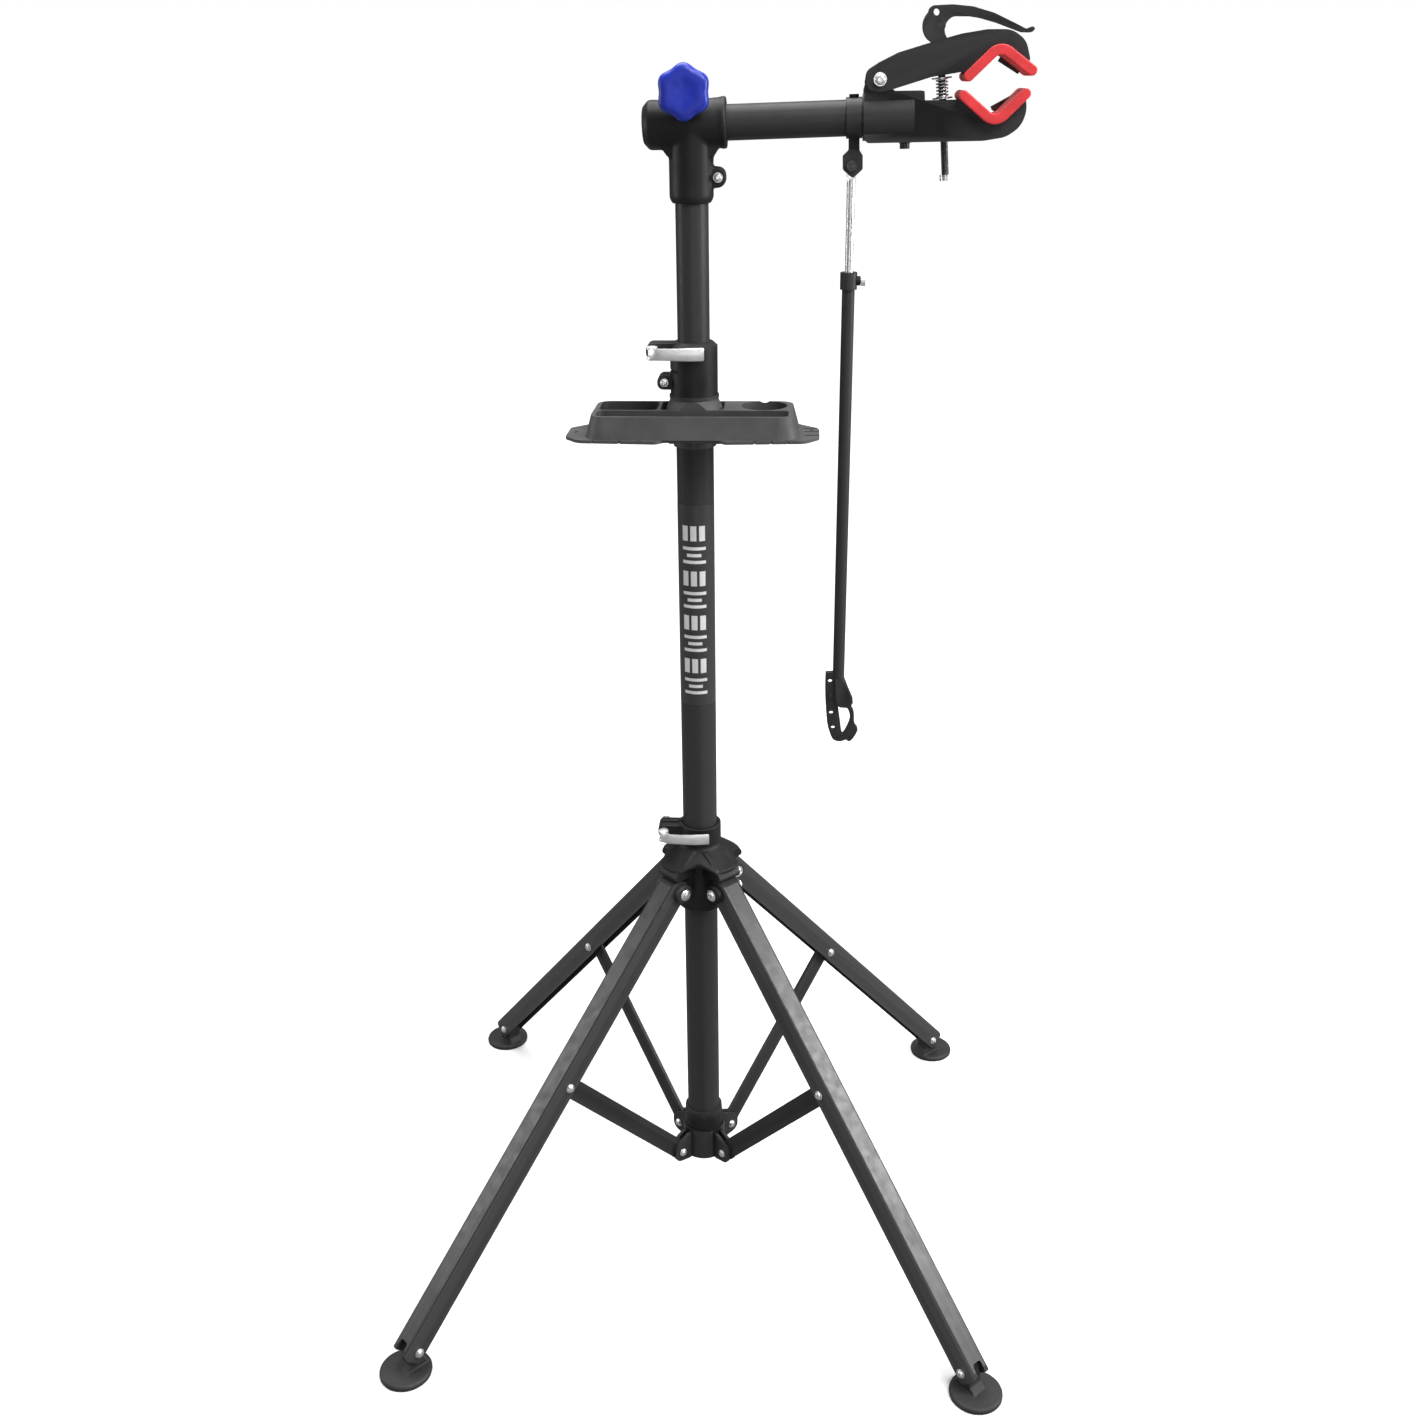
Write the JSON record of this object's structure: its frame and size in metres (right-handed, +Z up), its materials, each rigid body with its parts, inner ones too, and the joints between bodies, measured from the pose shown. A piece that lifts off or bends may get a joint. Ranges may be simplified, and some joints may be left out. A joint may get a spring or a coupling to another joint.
{
  "type": "bike repair stand",
  "caption": "Folding bike repair stand: telescoping mast, tool tray, turning arm with a cam-action clamp, handlebar holder and diagonal legs with level feet.",
  "frame": {"origin": "on the floor, at the mast axis, in the middle of the four feet", "axes": "+Z up along the mast; +X along the clamp arm; the legs lie in the four diagonal planes"},
  "size_m": [0.6668, 0.6668, 1.3447],
  "materials": {
    "black_steel": "satin powder coat",
    "charcoal_plastic": "fine grained moulding",
    "black_plastic": "satin moulding",
    "bright_steel": "bright zinc plate",
    "dark_steel": "dark oxide",
    "cam_black": "satin powder coat",
    "silver_lever": "polished",
    "knob_blue": "semi gloss",
    "pad_red": "soft satin",
    "strap_rubber": "matt",
    "label_band": "printed film"
  },
  "bodies": {
    "mast": {"lower_mast_tube": "black_steel", "mast_bushing": "black_plastic", "mast_label": "label_band", "height_collar": "charcoal_plastic", "collar_bolt": "bright_steel", "height_skewer": "bright_steel", "tool_tray": "charcoal_plastic", "lower_hub": "charcoal_plastic", "lower_hub_bolts": "bright_steel"},
    "height_lever": {"height_lever": "silver_lever"},
    "upper_mast": {"upper_mast_tube": "black_steel", "head_fitting": "charcoal_plastic", "head_pinch_bolt": "bright_steel", "knob_bolt": "bright_steel"},
    "clamp_knob": {"clamp_knob": "knob_blue"},
    "arm": {"arm_tube": "black_steel", "clamp_socket": "black_steel", "socket_screw": "dark_steel", "lower_jaw_plates": "black_steel", "lower_jaw_block": "black_plastic", "lower_jaw_pads": "pad_red", "jaw_pivot_bolt": "bright_steel", "hanger_strap": "black_steel", "hanger_bolt": "dark_steel", "jaw_spring": "bright_steel"},
    "clamp_rod": {"clamp_rod": "dark_steel", "rod_end_nut": "bright_steel", "lever_pin": "dark_steel"},
    "cam_lever": {"cam_lever": "cam_black"},
    "upper_jaw": {"upper_jaw_plates": "black_steel", "upper_jaw_block": "black_plastic", "upper_jaw_pads": "pad_red"},
    "stabiliser_rod": {"stabiliser_rod": "bright_steel"},
    "stabiliser_tube": {"stabiliser_tube": "black_steel", "tube_lock_collar": "black_plastic", "holder_bracket": "black_plastic", "holder_strap": "strap_rubber"},
    "lock_screw": {"lock_screw": "bright_steel"},
    "leg_hub": {"leg_hub": "charcoal_plastic", "hub_skewer": "bright_steel", "leg_pivot_bolts": "bright_steel"},
    "hub_lever": {"hub_lever": "silver_lever"},
    "leg_front_right": {"leg_front_right": "black_steel", "leg_bolts_front_right": "bright_steel"},
    "strut_front_right": {"strut_front_right": "black_steel"},
    "foot_front_right": {"foot_front_right": "black_plastic"},
    "leg_rear_right": {"leg_rear_right": "black_steel", "leg_bolts_rear_right": "bright_steel"},
    "strut_rear_right": {"strut_rear_right": "black_steel"},
    "foot_rear_right": {"foot_rear_right": "black_plastic"},
    "leg_rear_left": {"leg_rear_left": "black_steel", "leg_bolts_rear_left": "bright_steel"},
    "strut_rear_left": {"strut_rear_left": "black_steel"},
    "foot_rear_left": {"foot_rear_left": "black_plastic"},
    "leg_front_left": {"leg_front_left": "black_steel", "leg_bolts_front_left": "bright_steel"},
    "strut_front_left": {"strut_front_left": "black_steel"},
    "foot_front_left": {"foot_front_left": "black_plastic"}
  },
  "joints": [
    {"name": "height_slide", "type": "slide", "parent": "mast", "child": "upper_mast", "axis": [0, 0, 1], "range_m": [-0.12, 0.4]},
    {"name": "height_lever_hinge", "type": "hinge", "parent": "mast", "child": "height_lever", "pos_m": [-0.0395, -0.02, 1.0383], "axis": [0, 0, -1], "range_deg": [0, 150]},
    {"name": "arm_turn", "type": "hinge", "parent": "upper_mast", "child": "arm", "pos_m": [0, 0, 1.2465], "axis": [0.9997, 0, 0.0262], "continuous": true},
    {"name": "knob_turn", "type": "hinge", "parent": "upper_mast", "child": "clamp_knob", "pos_m": [-0.00373, -0.036, 1.27421], "axis": [0, 1, 0], "range_deg": [0, 720]},
    {"name": "clamp_slide", "type": "slide", "parent": "arm", "child": "clamp_rod", "axis": [-0.0865, 0, 0.9963], "range_m": [-0.004, 0.007], "deforming": ["jaw_spring"]},
    {"name": "jaw_pivot", "type": "hinge", "parent": "arm", "child": "upper_jaw", "pos_m": [0.1741, 0, 1.28317], "axis": [0, -1, 0], "range_deg": [-3.7, 6.45]},
    {"name": "cam_lever_pivot", "type": "hinge", "parent": "clamp_rod", "child": "cam_lever", "pos_m": [0.22735, 0, 1.32768], "axis": [0, -1, 0], "range_deg": [0, 95]},
    {"name": "stabiliser_swing", "type": "hinge", "parent": "arm", "child": "stabiliser_rod", "pos_m": [0.15074, 0, 1.20883], "axis": [0, -1, 0], "range_deg": [-3, 65]},
    {"name": "tube_slide", "type": "slide", "parent": "stabiliser_rod", "child": "stabiliser_tube", "axis": [0, 0, 1], "range_m": [-0.25, 0.08]},
    {"name": "lock_screw_turn", "type": "hinge", "parent": "stabiliser_tube", "child": "lock_screw", "pos_m": [0.16574, 0, 1.104], "axis": [1, 0, 0], "range_deg": [0, 720]},
    {"name": "strut_front_right_fold", "type": "hinge", "parent": "mast", "child": "strut_front_right", "pos_m": [0.02828, -0.02828, 0.082], "axis": [-0.7071, -0.7071, 0], "range_deg": [0, 42.3]},
    {"name": "strut_rear_right_fold", "type": "hinge", "parent": "mast", "child": "strut_rear_right", "pos_m": [0.02828, 0.02828, 0.082], "axis": [0.7071, -0.7071, 0], "range_deg": [0, 42.4]},
    {"name": "strut_rear_left_fold", "type": "hinge", "parent": "mast", "child": "strut_rear_left", "pos_m": [-0.02828, 0.02828, 0.082], "axis": [0.7071, 0.7071, 0], "range_deg": [0, 42.4]},
    {"name": "strut_front_left_fold", "type": "hinge", "parent": "mast", "child": "strut_front_left", "pos_m": [-0.02828, -0.02828, 0.082], "axis": [-0.7071, 0.7071, 0], "range_deg": [0, 42.4]},
    {"name": "leg_front_right_joint", "type": "hinge", "parent": "strut_front_right", "child": "leg_front_right", "pos_m": [0.14528, -0.14528, 0.2635], "axis": [-0.7071, -0.7071, 0], "range_deg": [-84.7, 0]},
    {"name": "hub_front_right_hinge", "type": "hinge", "parent": "leg_front_right", "child": "leg_hub", "pos_m": [0.02828, -0.02828, 0.445], "axis": [-0.7071, -0.7071, 0], "range_deg": [0, 42.4]},
    {"name": "leg_rear_right_hinge", "type": "hinge", "parent": "leg_hub", "child": "leg_rear_right", "pos_m": [0.02828, 0.02828, 0.445], "axis": [0.7071, -0.7071, 0], "range_deg": [-42.4, 0]},
    {"name": "leg_rear_left_hinge", "type": "hinge", "parent": "leg_hub", "child": "leg_rear_left", "pos_m": [-0.02828, 0.02828, 0.445], "axis": [0.7071, 0.7071, 0], "range_deg": [-42.4, 0]},
    {"name": "leg_front_left_hinge", "type": "hinge", "parent": "leg_hub", "child": "leg_front_left", "pos_m": [-0.02828, -0.02828, 0.445], "axis": [-0.7071, 0.7071, 0], "range_deg": [-42.4, 0]},
    {"name": "foot_front_right_swivel", "type": "hinge", "parent": "leg_front_right", "child": "foot_front_right", "pos_m": [0.29706, -0.29706, 0.02805], "axis": [-0.7071, -0.7071, 0], "range_deg": [0, 42.4]},
    {"name": "foot_rear_right_swivel", "type": "hinge", "parent": "leg_rear_right", "child": "foot_rear_right", "pos_m": [0.29706, 0.29706, 0.02805], "axis": [0.7071, -0.7071, 0], "range_deg": [0, 42.4]},
    {"name": "foot_rear_left_swivel", "type": "hinge", "parent": "leg_rear_left", "child": "foot_rear_left", "pos_m": [-0.29706, 0.29706, 0.02805], "axis": [0.7071, 0.7071, 0], "range_deg": [0, 42.4]},
    {"name": "foot_front_left_swivel", "type": "hinge", "parent": "leg_front_left", "child": "foot_front_left", "pos_m": [-0.29706, -0.29706, 0.02805], "axis": [-0.7071, 0.7071, 0], "range_deg": [0, 42.4]},
    {"name": "hub_lever_hinge", "type": "hinge", "parent": "leg_hub", "child": "hub_lever", "pos_m": [-0.0395, -0.02, 0.5083], "axis": [0, 0, -1], "range_deg": [0, 150]}
  ],
  "couplings": [
    {"joint": "strut_rear_right_fold", "follows": "strut_front_right_fold", "ratio": 1},
    {"joint": "strut_rear_left_fold", "follows": "strut_front_right_fold", "ratio": 1},
    {"joint": "strut_front_left_fold", "follows": "strut_front_right_fold", "ratio": 1},
    {"joint": "leg_front_right_joint", "follows": "strut_front_right_fold", "ratio": -2},
    {"joint": "hub_front_right_hinge", "follows": "strut_front_right_fold", "ratio": 1},
    {"joint": "leg_rear_right_hinge", "follows": "strut_front_right_fold", "ratio": -1},
    {"joint": "leg_rear_left_hinge", "follows": "strut_front_right_fold", "ratio": -1},
    {"joint": "leg_front_left_hinge", "follows": "strut_front_right_fold", "ratio": -1},
    {"joint": "foot_front_right_swivel", "follows": "strut_front_right_fold", "ratio": 1},
    {"joint": "foot_rear_right_swivel", "follows": "strut_front_right_fold", "ratio": 1},
    {"joint": "foot_rear_left_swivel", "follows": "strut_front_right_fold", "ratio": 1},
    {"joint": "foot_front_left_swivel", "follows": "strut_front_right_fold", "ratio": 1},
    {"joint": "jaw_pivot", "follows": "clamp_slide", "rad_per_m": 15.87}
  ]
}
